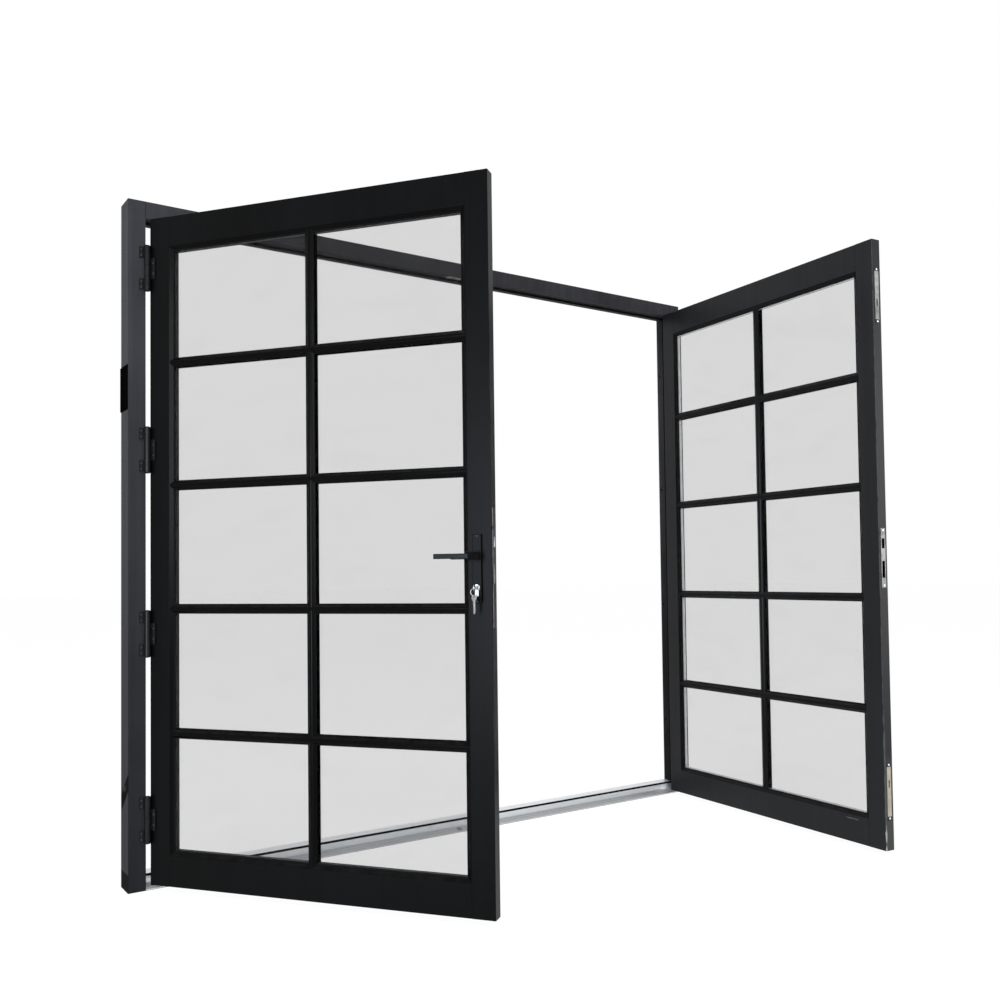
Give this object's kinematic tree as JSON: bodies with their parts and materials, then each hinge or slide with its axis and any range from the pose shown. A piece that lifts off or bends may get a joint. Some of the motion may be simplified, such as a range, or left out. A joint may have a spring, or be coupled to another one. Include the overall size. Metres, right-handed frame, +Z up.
{
  "type": "double glazed aluminium door with frame",
  "caption": "Outward opening double aluminium door in its frame, with glazing bars, knuckle hinges, a lever lock with key and flush bolts.",
  "frame": {"origin": "middle of the frame's foot: halfway across its width and its depth, on the underside of the threshold", "axes": "+X to the right seen from outside, +Y into the room, +Z up; the leaves open towards -Y"},
  "size_m": [2.323, 1.1927, 2.1],
  "materials": {
    "black_coat": "fine satin powder coat",
    "hinge_paint": "satin",
    "handle_paint": "satin",
    "mill_aluminium": "mill finish",
    "spacer_aluminium": "bright",
    "seal_rubber": "matte",
    "zinc_steel": "zinc plated",
    "bright_steel": "polished",
    "clear_glass": "clear",
    "packer_plastic": "matte"
  },
  "bodies": {
    "frame": {"left_jamb": "black_coat", "right_jamb": "black_coat", "head_profile": "black_coat", "threshold": "mill_aluminium", "frame_corner_cleats": "mill_aluminium", "frame_seal": "seal_rubber", "threshold_seal": "seal_rubber", "head_bolt_keep": "zinc_steel", "threshold_bolt_keep": "zinc_steel", "jamb_packer": "packer_plastic", "left_frame_hinges": "hinge_paint", "right_frame_hinges": "hinge_paint", "hinge_pins": "hinge_paint", "frame_hinge_screws": "bright_steel"},
    "left_leaf": {"left_hinge_stile": "black_coat", "left_bottom_rail": "black_coat", "left_top_rail": "black_coat", "left_corner_blocks": "mill_aluminium", "left_glass_panes": "clear_glass", "left_glass_spacer": "spacer_aluminium", "left_glazing_beads": "black_coat", "left_outer_bars": "black_coat", "left_inner_bars": "black_coat", "left_leaf_hinges": "hinge_paint", "left_hinge_screws": "bright_steel", "left_lock_stile": "black_coat", "lock_case": "zinc_steel", "lock_faceplate": "zinc_steel", "outside_handle_plate": "handle_paint", "inside_handle_plate": "handle_paint", "lock_cylinder": "bright_steel", "left_lock_screws": "bright_steel"},
    "lever": {"outside_lever": "handle_paint", "spindle": "zinc_steel", "inside_lever": "handle_paint"},
    "latch": {"latch_bolt": "zinc_steel"},
    "deadbolt": {"dead_bolt": "zinc_steel"},
    "key": {"cylinder_plug": "bright_steel", "door_key": "bright_steel", "key_ring": "bright_steel", "spare_key": "bright_steel"},
    "right_leaf": {"right_hinge_stile": "black_coat", "right_bottom_rail": "black_coat", "right_top_rail": "black_coat", "right_corner_blocks": "mill_aluminium", "right_glass_panes": "clear_glass", "right_glass_spacer": "spacer_aluminium", "right_glazing_beads": "black_coat", "right_outer_bars": "black_coat", "right_inner_bars": "black_coat", "right_leaf_hinges": "hinge_paint", "right_hinge_screws": "bright_steel", "right_meeting_stile": "black_coat", "strike_plate": "zinc_steel", "flush_bolt_plates": "zinc_steel", "edge_plate_screws": "bright_steel"},
    "top_bolt": {"top_bolt_slider": "zinc_steel", "top_bolt_rod": "zinc_steel"},
    "bottom_bolt": {"bottom_bolt_slider": "zinc_steel", "bottom_bolt_rod": "zinc_steel"}
  },
  "joints": [
    {"name": "left_leaf_swing", "type": "hinge", "parent": "frame", "child": "left_leaf", "pos_m": [-1.1055, -0.052, 0], "axis": [0, 0, -1], "range_deg": [-53, 117]},
    {"name": "right_leaf_swing", "type": "hinge", "parent": "frame", "child": "right_leaf", "pos_m": [1.1055, -0.052, 0], "axis": [0, 0, 1], "range_deg": [-85, 85]},
    {"name": "lever_turn", "type": "hinge", "parent": "left_leaf", "child": "lever", "pos_m": [-0.44291, -0.8831, 0.989], "axis": [-0.7986, -0.6018, 0], "range_deg": [0, 40], "stiffness_Nm_per_rad": 1, "springref_deg": -28.65},
    {"name": "latch_slide", "type": "slide", "parent": "left_leaf", "child": "latch", "axis": [-0.6018, 0.7986, 0], "range_m": [0, 0.0041]},
    {"name": "key_turn", "type": "hinge", "parent": "left_leaf", "child": "key", "pos_m": [-0.44291, -0.8831, 0.904], "axis": [-0.7986, -0.6018, 0], "range_deg": [0, 360]},
    {"name": "deadbolt_slide", "type": "slide", "parent": "left_leaf", "child": "deadbolt", "axis": [0.6018, -0.7986, 0], "range_m": [0, 0.0201]},
    {"name": "top_bolt_slide", "type": "slide", "parent": "right_leaf", "child": "top_bolt", "axis": [0, 0, 1], "range_m": [0, 0.014]},
    {"name": "bottom_bolt_slide", "type": "slide", "parent": "right_leaf", "child": "bottom_bolt", "axis": [0, 0, -1], "range_m": [0, 0.014]}
  ],
  "couplings": [
    {"joint": "latch_slide", "follows": "lever_turn", "m_per_rad": 0.0057296},
    {"joint": "deadbolt_slide", "follows": "key_turn", "m_per_rad": 0.0031831}
  ]
}
